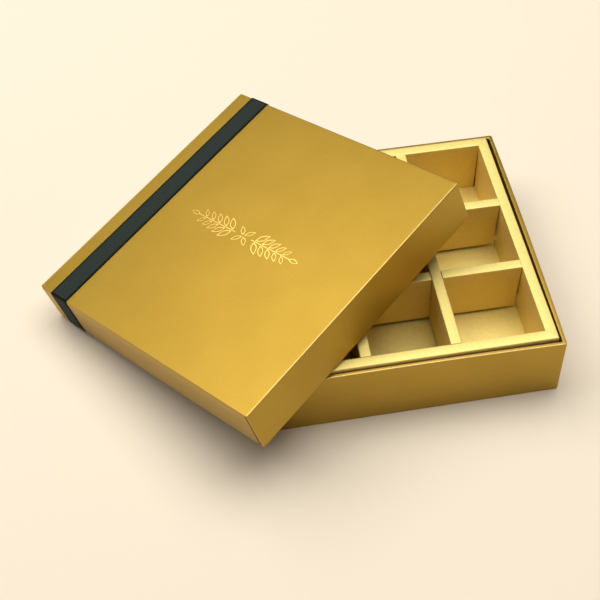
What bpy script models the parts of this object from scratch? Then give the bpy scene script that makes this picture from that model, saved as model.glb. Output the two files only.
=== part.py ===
"""Square nine-cell gift box for sweets, with its drop-over lid lifted off and laid askew on the base.

The box is a set-up (rigid) box.  Base and lid are each a greyboard panel with four greyboard
walls, taped at the corners and wrapped in one sheet of satin gold paper that turns over the rim.
A folded pearl card tray stands in the base, its rim a little proud, and a grid of four hollow
folded strips, halved together, divides it into nine cells.  A grosgrain ribbon runs round the lid
beside one edge, its ends tucked under the rim.

Units are metres, +Z is up, and the origin is the middle of the base's underside.
+X runs along the front wall to the right, +Y runs away from the front.
"""
import math

import bmesh
import bpy
from mathutils import Matrix, Vector

MM = 0.001

# Overall sizes
BASE_SIDE = 200.0 * MM
BASE_HEIGHT = 49.0 * MM
LID_HEIGHT = 33.0 * MM
LID_CLEARANCE = 1.5 * MM  # between the base and the closed lid, on each side

# Sheet goods
BOARD = 1.5 * MM  # greyboard
PAPER = 0.2 * MM  # gold wrap
TAPE = 0.15 * MM  # corner stays and lining paper
GLUE = 0.15 * MM  # between glued layers
CARD = 0.5 * MM  # pearl card of the tray and its dividers

# Wrapped trays
EDGE_RADIUS = 0.6 * MM  # where the wrap bends over an edge
CORNER_RADIUS = 1.0 * MM  # upright corners, outside
INNER_CORNER_RADIUS = 0.15 * MM
BOARD_EASE = 0.3 * MM  # crushed edges of a wall board's rim, and how far its end stands back
SEAM = 0.3 * MM  # between the end of one wall board and the face of the next
STAY_LEG = 15.0 * MM  # reach of the corner tape along each wall
TURN_IN_STOP = 1.0 * MM  # the turned-in wrap ends this far above the board's floor
LINER_MARGIN = 0.3 * MM
FLAP_REACH = 1.8 * MM  # the wrap of the side walls laps this far round each corner
FLAP_EDGE = 0.3 * MM  # width of the line at the lap's edge

# Card tray
TRAY_PLAY = 1.7 * MM  # between the tray and the base's walls, on each side
TRAY_PROUD = 2.4 * MM  # the tray's rim stands above the base's rim
RIM_WIDTH = 7.4 * MM
FLOOR_RAISE = 6.35 * MM  # room under the tray's floor
FOLD_RADIUS = 0.6 * MM
MITRE_GAP = 0.15 * MM  # each side's end stands back from the corner's diagonal
FOOT_GAP = 0.7 * MM  # the same at the tray's foot

# Dividers
DIVIDER_WIDTH = 7.3 * MM
MIDDLE_CELL = 51.8 * MM  # the middle cell's side
END_GAP = 0.3 * MM  # between a strip's end and the tray's wall, at the top
END_DRAW = 1.0 * MM  # how far the end is drawn in at its foot
LAP_GAP = 0.35 * MM  # beside a strip in its halving slot
LAP_REST = 0.3 * MM  # between the two strips in a halving joint

# Ribbon
RIBBON_WIDTH = 16.5 * MM
RIBBON_OFFSET = 12.5 * MM  # from the lid's edge to the ribbon
RIBBON_THICKNESS = 0.4 * MM
RIBBON_BEND = 0.7 * MM
RIBBON_TAIL = 12.0 * MM  # glued inside the lid's wall

# How the pieces lie
SEAT_GAP = 0.3 * MM
LID_TURN = math.radians(-52.0)  # heading of the lid's own X axis, seen from above
LID_CORNER_SHARES = (-1.1365, 0.1200)  # where the lid's low corner stands, in base sides

CORNER_STEPS = 3
BEND_STEPS = 2
OVERRUN = 1.0 * MM  # how far a cutter passes what it cuts
EMPTY_SIZE = 20.0 * MM  # how large an empty is drawn
REST_PASSES = 20

# Worked out from the sizes above
WRAP_TO_BOARD = PAPER + GLUE + TAPE + GLUE
WALL = WRAP_TO_BOARD + BOARD + GLUE + PAPER
PANEL_FOOT = PAPER + GLUE
PANEL_TOP = PANEL_FOOT + BOARD
LINED_FLOOR = PANEL_TOP + GLUE + TAPE
LID_SIDE = BASE_SIDE + 2 * (WALL + LID_CLEARANCE)
TRAY_HALF = BASE_SIDE / 2 - WALL - TRAY_PLAY
TRAY_FOOT = LINED_FLOOR + SEAT_GAP
TRAY_TOP = BASE_HEIGHT + TRAY_PROUD
TRAY_INNER = TRAY_HALF - RIM_WIDTH
CELL_FLOOR = LINED_FLOOR + FLOOR_RAISE + CARD
DIVIDER_FOOT = CELL_FLOOR + SEAT_GAP
DIVIDER_CENTRE = (MIDDLE_CELL + DIVIDER_WIDTH) / 2
LAP_HEIGHT = (DIVIDER_FOOT + TRAY_TOP) / 2

# Colours (linear), roughness, metallic
FINISHES = {
    "gold_wrap": ((0.42, 0.25, 0.045), 0.42, 0.75),
    "greyboard": ((0.36, 0.31, 0.24), 0.90, 0.0),
    "kraft_tape": ((0.40, 0.25, 0.12), 0.80, 0.0),
    "lining_paper": ((0.42, 0.26, 0.06), 0.60, 0.35),
    "pearl_card": ((0.72, 0.58, 0.20), 0.45, 0.45),
    "ribbon_cloth": ((0.028, 0.036, 0.032), 0.75, 0.0),
}


def clear_scene():
    for old in list(bpy.data.objects):
        bpy.data.objects.remove(old, do_unlink=True)


def finish_material(piece, finish):
    """A material of the piece's own, named after it."""
    colour, roughness, metallic = FINISHES[finish]
    made = bpy.data.materials.new(f"{piece.name}_{finish}")
    made.use_nodes = True
    shader = made.node_tree.nodes["Principled BSDF"]
    shader.inputs["Base Color"].default_value = (*colour, 1.0)
    shader.inputs["Roughness"].default_value = roughness
    shader.inputs["Metallic"].default_value = metallic
    made.diffuse_color = (*colour, 1.0)
    piece.data.materials.append(made)


def place(name, parent=None, matrix=None):
    """An empty that carries the pieces of one body."""
    empty = bpy.data.objects.new(name, None)
    empty.empty_display_size = EMPTY_SIZE
    bpy.context.scene.collection.objects.link(empty)
    empty.parent = parent
    empty.matrix_basis = matrix or Matrix.Identity(4)
    return empty


def make_piece(name, bm, parent, finish=None):
    bmesh.ops.recalc_face_normals(bm, faces=bm.faces)
    mesh = bpy.data.meshes.new(name)
    bm.to_mesh(mesh)
    bm.free()
    piece = bpy.data.objects.new(name, mesh)
    bpy.context.scene.collection.objects.link(piece)
    piece.parent = parent
    if finish:
        finish_material(piece, finish)
    else:
        piece.hide_render = True
        piece.display_type = "WIRE"
    return piece


def boolean(piece, cutter, operation="DIFFERENCE"):
    cut = piece.modifiers.new(cutter.name, "BOOLEAN")
    cut.operation = operation
    cut.solver = "EXACT"
    cut.object = cutter


def arc(centre, radius, start, end, steps):
    """Points on an arc about centre, with angles in degrees."""
    points = []
    for i in range(steps + 1):
        angle = math.radians(start + (end - start) * i / steps)
        points.append((centre[0] + radius * math.cos(angle), centre[1] + radius * math.sin(angle)))
    return points


def ring(bm, half, radius, z):
    """A square with rounded corners, as one loop of vertices."""
    middle = half - radius
    corners = ((middle, middle, 0), (-middle, middle, 90), (-middle, -middle, 180), (middle, -middle, 270))
    loop = []
    for x, y, turn in corners:
        for px, py in arc((x, y), radius, turn, turn + 90, CORNER_STEPS):
            loop.append(bm.verts.new((px, py, z)))
    return loop


def skin(bm, rings):
    """Faces between one ring of vertices and the next, and one across each end."""
    for low, high in zip(rings, rings[1:]):
        for i in range(len(low)):
            j = (i + 1) % len(low)
            bm.faces.new((low[i], low[j], high[j], high[i]))
    bm.faces.new(rings[0])
    bm.faces.new(rings[-1])


def loft_square(profile, outer_half):
    """Lofts square rings along a profile of (half side, height) points, closed by a face at each end."""
    bm = bmesh.new()
    rings = []
    for half, z in profile:
        radius = max(CORNER_RADIUS - (outer_half - half), INNER_CORNER_RADIUS)
        rings.append(ring(bm, half, radius, z))
    skin(bm, rings)
    return bm


def add_bar(bm, section, reach, turn):
    """Skins a section of (distance out, height) points, at -Y, between two ends, and turns it.

    reach(distance, height) is the half length there.
    """
    ends = []
    for hand in (-1, 1):
        ends.append([bm.verts.new(turn @ Vector((hand * reach(d, z), -d, z))) for d, z in section])
    skin(bm, ends)


def prism(outline, low, high, axes):
    """Extrudes a flat outline from low to high.  axes maps (u, v, w) to (x, y, z)."""
    bm = bmesh.new()
    start = [bm.verts.new(axes(u, v, low)) for u, v in outline]
    face = bm.faces.new(start)
    grown = bmesh.ops.extrude_face_region(bm, geom=[face])
    moved = [v for v in grown["geom"] if isinstance(v, bmesh.types.BMVert)]
    step = Vector(axes(0, 0, high)) - Vector(axes(0, 0, low))
    bmesh.ops.translate(bm, verts=moved, vec=step)
    return bm


def block(bm, low, high, matrix=None):
    """Adds a box between two corners."""
    centre = [(a + b) / 2 for a, b in zip(low, high)]
    size = [b - a for a, b in zip(low, high)]
    turn = matrix or Matrix.Identity(4)
    bmesh.ops.create_cube(bm, size=1, matrix=turn @ Matrix.Translation(centre) @ Matrix.Diagonal((*size, 1)))


def turned_over(height):
    """Turns a tray upside down about its own middle height, to make a lid of it."""
    return Matrix.Translation((0, 0, height)) @ Matrix.Rotation(math.pi, 4, "X")


def wrap_path(half, height, offset):
    """The wrap's face from the underside, up the wall, over the rim and down inside."""
    radius = EDGE_RADIUS - offset
    outside = half - EDGE_RADIUS
    inside = half - WALL + EDGE_RADIUS
    top = height - EDGE_RADIUS
    path = arc((outside, EDGE_RADIUS), radius, -90, 0, BEND_STEPS)
    path += arc((outside, top), radius, 0, 90, BEND_STEPS)
    path += arc((inside, top), radius, 90, 180, BEND_STEPS)
    path.append((half - WALL + offset, PANEL_TOP + TURN_IN_STOP))
    return path


def wrap_sheet(half, height):
    """The gold paper: one sheet round the tray, a wall's thickness of it turned over the rim."""
    return loft_square(wrap_path(half, height, 0) + wrap_path(half, height, PAPER)[::-1], half)


def lap_lines(half, height):
    """Cutters for the edges of the corner laps, on the front and back walls of the wrap."""
    bm = bmesh.new()
    near = half - FLAP_REACH
    end = EDGE_RADIUS + FLAP_EDGE
    for x in (-near, near - FLAP_EDGE):
        for y in (-half - OVERRUN, half - PAPER / 2):
            block(bm, (x, y, end), (x + FLAP_EDGE, y + OVERRUN + PAPER / 2, height - end))
    return bm


def panel_board(half):
    """The greyboard panel: the base's floor, or the lid's top when it is turned over."""
    outer = half - WRAP_TO_BOARD
    return loft_square([(outer, PANEL_FOOT), (outer, PANEL_TOP)], half)


def wall_board(half, height):
    """One of four equal greyboard walls, at -Y.  Its left end covers the end of the next wall."""
    outer = half - WRAP_TO_BOARD
    inner = outer - BOARD
    foot = PANEL_TOP + GLUE
    rim = height - PANEL_FOOT
    section = [
        (outer, foot),
        (outer, rim - BOARD_EASE),
        (outer - BOARD_EASE, rim),
        (inner + BOARD_EASE, rim),
        (inner, rim - BOARD_EASE),
        (inner, foot),
    ]
    return prism(section, BOARD_EASE - outer, inner - SEAM, lambda u, v, w: (w, -u, v))


def corner_stay(half, height):
    """Kraft tape bent round one corner of the board, at +X +Y."""
    outer = half - PAPER - GLUE
    radius = CORNER_RADIUS - PAPER - GLUE
    middle = outer - radius
    end = outer - STAY_LEG
    outline = [(outer, end)]
    outline += arc((middle, middle), radius, 0, 90, CORNER_STEPS)
    outline += [(end, outer), (end, outer - TAPE)]
    outline += arc((middle, middle), radius - TAPE, 90, 0, CORNER_STEPS)
    outline.append((outer - TAPE, end))
    return prism(outline, EDGE_RADIUS, height - EDGE_RADIUS, lambda u, v, w: (u, v, w))


def lining_sheet(half):
    """Paper over the board's floor panel, inside the tray."""
    side = half - WALL - LINER_MARGIN
    foot = PANEL_TOP + GLUE
    return prism(
        [(-side, -side), (side, -side), (side, side), (-side, side)],
        foot,
        foot + TAPE,
        lambda u, v, w: (u, v, w),
    )


def four_round(names, bm, parent, finish, start):
    """A piece and three copies of it, each a quarter turn on about the box's middle."""
    first = make_piece(names[0], bm, parent, finish)
    for quarter, name in enumerate(names):
        piece = first
        if quarter:
            piece = bpy.data.objects.new(name, first.data)
            bpy.context.scene.collection.objects.link(piece)
            piece.parent = parent
        piece.matrix_basis = Matrix.Rotation(math.radians(90 * quarter), 4, "Z") @ start


def wrapped_tray(prefix, panel, side, height, parent, over):
    """Boards, corner tape, wrap and lining of the base, or of the lid when it is turned over."""
    half = side / 2
    flip = turned_over(height) if over else Matrix.Identity(4)
    walls_start = Matrix.Rotation(math.radians(180), 4, "Z") if over else Matrix.Identity(4)
    stays_start = Matrix.Rotation(math.radians(90), 4, "Z") if over else Matrix.Identity(4)

    def shaped(bm):
        bmesh.ops.transform(bm, matrix=flip, verts=bm.verts)
        return bm

    make_piece(f"{prefix}_{panel}", shaped(panel_board(half)), parent, "greyboard")
    walls = [f"{prefix}_wall_board_{where}" for where in ("front", "right", "back", "left")]
    four_round(walls, shaped(wall_board(half, height)), parent, "greyboard", walls_start)
    corners = ("back_right", "back_left", "front_left", "front_right")
    stays = [f"{prefix}_corner_stay_{where}" for where in corners]
    four_round(stays, shaped(corner_stay(half, height)), parent, "kraft_tape", stays_start)
    wrap = make_piece(f"{prefix}_wrap", shaped(wrap_sheet(half, height)), parent, "gold_wrap")
    boolean(wrap, make_piece(f"{prefix}_lap_cutter", shaped(lap_lines(half, height)), parent))
    make_piece(f"{prefix}_liner", shaped(lining_sheet(half)), parent, "lining_paper")


def tray_side_profile():
    """Section of one folded side: outer wall, rim and inner wall, as (distance out, height)."""
    top = TRAY_TOP - FOLD_RADIUS
    inner_foot = CELL_FLOOR - CARD / 2
    return (
        [(TRAY_HALF, TRAY_FOOT)]
        + arc((TRAY_HALF - FOLD_RADIUS, top), FOLD_RADIUS, 0, 90, BEND_STEPS)
        + arc((TRAY_INNER + FOLD_RADIUS, top), FOLD_RADIUS, 90, 180, BEND_STEPS)
        + [(TRAY_INNER, inner_foot), (TRAY_INNER + CARD, inner_foot)]
        + [(TRAY_INNER + CARD, TRAY_TOP - CARD), (TRAY_HALF - CARD, TRAY_TOP - CARD)]
        + [(TRAY_HALF - CARD, TRAY_FOOT)]
    )


def tray_side_end(out, z):
    """Half the length of a side at a point of its section: mitred, and drawn in towards the foot."""
    drop = (TRAY_TOP - z) / (TRAY_TOP - TRAY_FOOT)
    return out - MITRE_GAP - (FOOT_GAP - MITRE_GAP) * drop


def insert_tray(parent):
    """The card tray: a raised floor whose four sides fold up, over and down to the base."""
    sides = bmesh.new()
    for quarter in range(4):
        add_bar(sides, tray_side_profile(), tray_side_end, Matrix.Rotation(math.radians(90 * quarter), 4, "Z"))
    sides_cutter = make_piece("tray_sides", sides, parent)
    floor = bmesh.new()
    reach = TRAY_INNER + CARD / 2
    block(floor, (-reach, -reach, CELL_FLOOR - CARD), (reach, reach, CELL_FLOOR))
    tray = make_piece("insert_tray", floor, parent, "pearl_card")
    boolean(tray, sides_cutter, "UNION")


def divider_end(across, z):
    """Half the length of a strip at a height: its ends are drawn in towards the foot."""
    drop = (TRAY_TOP - z) / (TRAY_TOP - DIVIDER_FOOT)
    return TRAY_INNER - END_GAP - END_DRAW * drop


def divider_strip(name, parent, matrix, cutter):
    """A hollow strip of card folded to an upturned U, with two halving slots."""
    half = DIVIDER_WIDTH / 2
    fold = TRAY_TOP - FOLD_RADIUS
    outline = [(half, DIVIDER_FOOT)]
    outline += arc((half - FOLD_RADIUS, fold), FOLD_RADIUS, 0, 90, BEND_STEPS)
    outline += arc((FOLD_RADIUS - half, fold), FOLD_RADIUS, 90, 180, BEND_STEPS)
    outline += [(-half, DIVIDER_FOOT), (CARD - half, DIVIDER_FOOT), (CARD - half, TRAY_TOP - CARD)]
    outline += [(half - CARD, TRAY_TOP - CARD), (half - CARD, DIVIDER_FOOT)]
    bm = bmesh.new()
    add_bar(bm, outline, divider_end, Matrix.Identity(4))
    strip = make_piece(name, bm, parent, "pearl_card")
    strip.matrix_basis = matrix
    boolean(strip, cutter)


def halving_cutter(name, parent, low, high, along_y):
    """Two bars that cut the halving slots, one for each strip that crosses."""
    bm = bmesh.new()
    half = DIVIDER_WIDTH / 2 + LAP_GAP
    for centre in (-DIVIDER_CENTRE, DIVIDER_CENTRE):
        corner, far = (centre - half, -TRAY_INNER), (centre + half, TRAY_INNER)
        if not along_y:
            corner, far = corner[::-1], far[::-1]
        block(bm, (*corner, low), (*far, high))
    return make_piece(name, bm, parent)


def row_dividers(parent):
    """The two strips along X, slotted from above."""
    cutter = halving_cutter("row_slots", parent, LAP_HEIGHT - LAP_REST / 2, TRAY_TOP + OVERRUN, True)
    for name, y in (("row_divider_front", -DIVIDER_CENTRE), ("row_divider_back", DIVIDER_CENTRE)):
        divider_strip(name, parent, Matrix.Translation((0, y, 0)), cutter)


def column_dividers(parent):
    """The two strips along Y, slotted from below, so that their tops run through."""
    cutter = halving_cutter("column_slots", parent, DIVIDER_FOOT - OVERRUN, LAP_HEIGHT + LAP_REST / 2, False)
    quarter = Matrix.Rotation(math.radians(90), 4, "Z")
    for name, x in (("column_divider_left", -DIVIDER_CENTRE), ("column_divider_right", DIVIDER_CENTRE)):
        divider_strip(name, parent, Matrix.Translation((x, 0, 0)) @ quarter, cutter)


def ribbon_path(offset):
    """One face of the ribbon in the lid's own Y and Z: up inside, round both walls and the top."""
    half = LID_SIDE / 2
    bend = RIBBON_BEND + offset
    tail = half - WALL - offset
    side = half - RIBBON_BEND
    rim = half - WALL + RIBBON_BEND
    right = [(tail, RIBBON_TAIL)]
    right += arc((rim, RIBBON_BEND), bend, 180, 270, BEND_STEPS)
    right += arc((side, RIBBON_BEND), bend, 270, 360, BEND_STEPS)
    right += arc((side, LID_HEIGHT - RIBBON_BEND), bend, 0, 90, BEND_STEPS)
    return right + [(-y, z) for y, z in right[::-1]]


def ribbon(parent):
    """The grosgrain band round the lid, parallel to its left edge."""
    outline = ribbon_path(GLUE + RIBBON_THICKNESS) + ribbon_path(GLUE)[::-1]
    start = RIBBON_OFFSET - LID_SIDE / 2
    bm = prism(outline, start, start + RIBBON_WIDTH, lambda u, v, w: (w, u, v))
    make_piece("lid_ribbon", bm, parent, "ribbon_cloth")


def crossing(start, heading, y):
    """Where a line seen from above, through start, meets a line of constant y."""
    along = (y - start[1]) / heading[1]
    return start[0] + heading[0] * along, y


def lid_rest():
    """The lid's place: one corner on the table, two rims across the tray's front and back edges.

    The rim's plane rises by rise_x and rise_y per metre.  Each pass turns the lid to the plane,
    finds where the flat of its right and back rims, on the inside, crosses the edges that they
    lie on, and tips the plane until it clears both by the seat gap.
    """
    corner = Vector((BASE_SIDE * LID_CORNER_SHARES[0], BASE_SIDE * LID_CORNER_SHARES[1], SEAT_GAP))
    supports = ((TRAY_HALF, TRAY_TOP), (BASE_SIDE / 2, BASE_HEIGHT))
    inner = LID_SIDE - WALL + EDGE_RADIUS
    rise_x = rise_y = 0.0
    for _ in range(REST_PASSES):
        heading = Vector((math.cos(LID_TURN), math.sin(LID_TURN), 0))
        heading.z = rise_x * heading.x + rise_y * heading.y
        along = heading.normalized()
        up = Vector((-rise_x, -rise_y, 1)).normalized()
        across = up.cross(along)
        touches = []
        for hand, start, line in ((-1, along * inner, across), (1, across * inner, along)):
            options = []
            for half, top in supports:
                x, y = crossing(corner + start, line, hand * half)
                plane = corner.z + rise_x * (x - corner.x) + rise_y * (y - corner.y)
                options.append((plane - top, x, y, top))
            touches.append(min(options)[1:])
        (ax, ay, az), (bx, by, bz) = touches
        ax, bx = ax - corner.x, bx - corner.x
        ay, by = ay - corner.y, by - corner.y
        solved = ax * by - bx * ay
        rise_x = (az * by - bz * ay) / solved
        rise_y = (bz * ax - az * bx) / solved
    middle = corner + (along + across) * (LID_SIDE / 2)
    turn = Matrix((along, across, up)).transposed().to_4x4()
    return Matrix.Translation(middle) @ turn


def main():
    clear_scene()
    base = place("base_place")
    tray = place("tray_place", base)
    grid = place("grid_place", tray)
    lid = place("lid_place", grid, lid_rest())
    wrapped_tray("base", "floor_board", BASE_SIDE, BASE_HEIGHT, base, over=False)
    insert_tray(tray)
    row_dividers(grid)
    column_dividers(grid)
    wrapped_tray("lid", "top_board", LID_SIDE, LID_HEIGHT, lid, over=True)
    ribbon(lid)
    bpy.context.view_layer.update()


main()
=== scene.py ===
"""Looks of a square nine-cell gift box: satin gold paper over greyboard, a pearl card insert,
and a drop-over lid with a grosgrain ribbon, laid askew on the open base.

Lengths are metres.  The base stands at the origin.  The lid's pieces are made level, with the
rim's plane at zero height, and then carried to where the lid lies.
"""

import math

import bmesh
import bpy
from mathutils import Matrix, Vector, noise


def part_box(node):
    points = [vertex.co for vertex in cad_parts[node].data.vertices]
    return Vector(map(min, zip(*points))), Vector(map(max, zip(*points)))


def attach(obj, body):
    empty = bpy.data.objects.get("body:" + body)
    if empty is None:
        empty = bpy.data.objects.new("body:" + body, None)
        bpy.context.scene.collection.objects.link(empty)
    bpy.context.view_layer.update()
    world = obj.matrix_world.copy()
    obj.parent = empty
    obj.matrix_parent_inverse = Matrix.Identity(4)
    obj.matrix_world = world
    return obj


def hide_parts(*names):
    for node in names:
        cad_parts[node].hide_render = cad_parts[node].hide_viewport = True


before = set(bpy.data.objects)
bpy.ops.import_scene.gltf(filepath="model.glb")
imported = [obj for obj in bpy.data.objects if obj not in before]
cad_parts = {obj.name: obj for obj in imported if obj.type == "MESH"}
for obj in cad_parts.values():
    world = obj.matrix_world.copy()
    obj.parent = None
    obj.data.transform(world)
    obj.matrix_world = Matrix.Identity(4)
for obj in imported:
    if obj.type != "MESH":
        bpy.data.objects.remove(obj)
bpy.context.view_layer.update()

MM = 0.001
SAME_PLACE = 0.01 * MM  # points closer together than this count as one

# Camera, as the photograph was taken
PHOTO_SIDE = 600
FOCAL_PIXELS = 1175.4
PRINCIPAL_PIXEL = (355, 300)
CAMERA_PLACE = (-116.4 * MM, -527.6 * MM, 649.6 * MM)
CAMERA_AZIMUTH = math.radians(10.275)
CAMERA_ELEVATION = math.radians(50.439)
SENSOR_WIDTH = 36  # millimetres, as Blender counts a lens
CLIP_RANGE = (0.02, 20)  # nearest and farthest that it sees

# Loops across each stretch of a sheet, so that it can bend there
WRAP_LOOPS = 9
WRAP_HEIGHT_LOOPS = 3
BOARD_LOOPS = 11
TRAY_LOOPS = 15
TRAY_HEIGHT_LOOPS = 3
STRIP_LOOPS = 11
CELL_FLOOR_LOOPS = 24
BEND_STEPS = 4  # segments round each small bend of paper or card

# Tests on the normals of faces
FACING = 0.9  # a face looks along an axis when its normal has more than this share of it
FOLD_COSINE = 0.5  # two faces meet at a fold when their normals agree by less than this

# Wrapped walls
WALL = 2.5 * MM  # board and the paper on both its sides
PAPER = 0.2 * MM
CORNER_RADIUS = 1.0 * MM  # upright corners
EDGE_RADIUS = 0.4 * MM  # folds at the panel and at the rim
LAP_REACH = (1.1 * MM, 2.7 * MM)  # from each corner to the upper paper's cut, at the panel and at the rim
LAP_RISE = 0.3 * MM  # it lies this much over the ear of paper that comes round the corner
SEAM_WIDTH = 0.4 * MM  # dark line beside its cut edge: glue, and painted shade where that edge stands off
SEAM_UNDERLAP = 0.1 * MM  # how far under that edge the dark line reaches
SEAM_DEPTH = CORNER_RADIUS / 3  # how far back from the wall's face it still shows
TURN_IN_FOOT = 2.85 * MM  # height over the panel's outside where the turned-in paper ends
RIGHT_BOW = 0.9 * MM  # how far the middle of the base's right wall stands outwards
RIGHT_LEAN = 1.2 * MM  # how much farther out its back end leans
TURN_IN_SWELL = 0.7 * MM  # how far the turned-in paper stands off that wall's board
FRONT_BOW = 1.0 * MM  # how far the middle of the base's front wall leans inwards
LID_SPRING = 0.7 * MM  # how far the corners of the lid's rim stand outwards
LID_BOW = 0.4 * MM  # how much farther out the middle of each of its walls stands
RUB_AND_HIGHLIGHT_REACH = 1.2 * MM  # how far from a folded edge the wrap looks rubbed and carries a painted highlight
RUB_AND_HIGHLIGHT_FADE = 3  # on the walls it fades this many times faster than on the panel and the rim
LAPPED_RUB_AND_HIGHLIGHT = 0.25  # share of that rubbing and painted highlight on the two walls that carry the laps

# Card insert
CARD = 0.5 * MM
RIM_WIDTH = 7.4 * MM  # across the tray's hollow walls
FOLD_RADIUS = 0.6 * MM
MITRE_GAP = 0.05 * MM  # from a wall's end to the corner's mitre line, at the rim
FOOT_GAP = 0.7 * MM  # and at the foot, where the walls draw in
CELL_FLOOR = 9.0 * MM  # height of the cells' floor
CARD_RIPPLE = 0.18 * MM  # how far flat card wanders out of its plane
RIPPLE_LENGTH = 45 * MM
SLOT_GAP = 0.35 * MM  # on each side of the strip that a halving slot takes
INSERT_SHIFT = (-0.2 * MM, 0.0, 0.0)  # the loose insert has slid this far in the base
END_REACH = 0.25 * MM  # the strips' tops run this much closer to the tray than the solids do
END_DRAW = 1.7 * MM  # and their feet stop this much short of where the solids end
FOOT_LIFT = 2.0 * MM  # folded strips spring up off the tray's floor by this much

# Ribbon
RIBBON_THICKNESS = 0.4 * MM
RIBBON_LIFT = 0.12 * MM  # over the paper
RIB_SPACING = 1.4 * MM  # real grosgrain has 0.7, drawn coarser so that it shows
RIB_HEIGHT = 0.16 * MM
RIBBED_SHARE = 0.45  # of the band's width, to each side of its middle, and the rest is woven edge, drawn darker with painted shade too
RIBBON_COLUMNS = 8
RIBBON_TAIL = 12 * MM  # turned in under the rim at each end
RIBBON_BEND = 0.7 * MM  # radius of its folds
RIBBON_BEND_STEPS = 6

# Foil garland on the lid
FOIL_HEIGHT = 0.08 * MM
FOIL_SINK = 0.02 * MM
GARLAND_HALF = 52 * MM
STEM_WIDTH = 0.5 * MM
STEM_ENDS = (0.15, 0.85)  # where each stem starts and ends, as shares of that half
LEAF_LENGTH = 11.0 * MM
LEAF_WIDTH = 4.4 * MM
LEAF_LINE = 0.13  # width of a leaf's outline, as a share of the leaf
LEAF_SIDES = 24
LEAF_POINT = 0.6  # power of the sine that gives its outline, higher is slimmer at both ends
LEAF_FULLNESS = 1.2  # how much that outline is widened at the foot
LEAF_TAPER = 0.4  # and how much of this is lost on the way to the tip
LEAF_PAIRS = 5
LEAF_LEAN = math.radians(48)
LEAF_FOOT = 0.9 * MM  # how far from the stem's middle line a leaf starts
FIRST_PAIR = 0.2  # where a sprig's first pair of leaves stands, as a share of the garland's half
TIP_PLACE = 0.82  # where the single leaf at its tip starts
LEAF_SHRINK = 0.45  # share of their size that the paired leaves would have lost by there
SMALL_LEAF = 0.75  # size of the leaf at the tip, and of the four in the middle

# Sockets and settings that the materials share
FACTOR, FIRST, SECOND = 0, 6, 7  # inputs of a Mix node that mixes colours
MIXED = 2  # and its output
COLOURS = {"data_type": "RGBA"}
NOISE_SPAN = {"From Min": 0.35, "From Max": 0.65}  # where most of a noise's values lie

# Studio
FLOOR_RADIUS = 1.6
FLOOR_SIDES = 96
FLOOR_DROP = 0.05 * MM  # the table lies this much below the box
BOWL_RADIUS = 0.9  # of the bend by which it rises all round
BOWL_STEP = math.radians(10)
BOWL_STEPS = 8
FLOOR_COLOUR = "#F6EDDD"
WORLD_COLOUR = "#FFFBF4"
WORLD_STRENGTH = 0.03
LIGHT_TARGET = (0, 0, 0.05)
LAMP_COLOUR = "#FFF9F0"
BACK_WATTS = 32.5
BACK_SIZE = (2.4, 1.4)
BACK_PLACE = (-1.06, 0.78, 1.88)
TOP_WATTS = 34.5
TOP_SIZE = (1.8, 1.8)
TOP_PLACE = (0.36, 0.18, 2.1)


def linear(colour):
    """A colour written as #RRGGBB, which is sRGB, as linear red, green, blue and alpha."""
    parts = [int(colour[i:i + 2], 16) / 255 for i in (1, 3, 5)]
    return (*(p / 12.92 if p <= 0.04045 else ((p + 0.055) / 1.055) ** 2.4 for p in parts), 1.0)


def feed(tree, node, links):
    """Links sockets to a node's inputs, which are named or numbered."""
    for key, source in links.items():
        tree.links.new(source, node.inputs[key])


def add_node(tree, kind, output, settings=None, links=None):
    """Adds a node and gives one of its outputs.  settings are its properties and fixed inputs."""
    node = tree.nodes.new(kind)
    for key, value in (settings or {}).items():
        if isinstance(key, int) or key in node.inputs:
            node.inputs[key].default_value = value
        else:
            setattr(node, key, value)
    feed(tree, node, links or {})
    return node.outputs[output]


def new_material(name, roughness, metallic):
    """An empty material with its shader, and the object's own coordinates in metres."""
    material = bpy.data.materials.new(name)
    material.use_nodes = True
    tree = material.node_tree
    shader = tree.nodes["Principled BSDF"]
    shader.inputs["Roughness"].default_value = roughness
    shader.inputs["Metallic"].default_value = metallic
    return material, tree, shader, add_node(tree, "ShaderNodeTexCoord", "Object")


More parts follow.
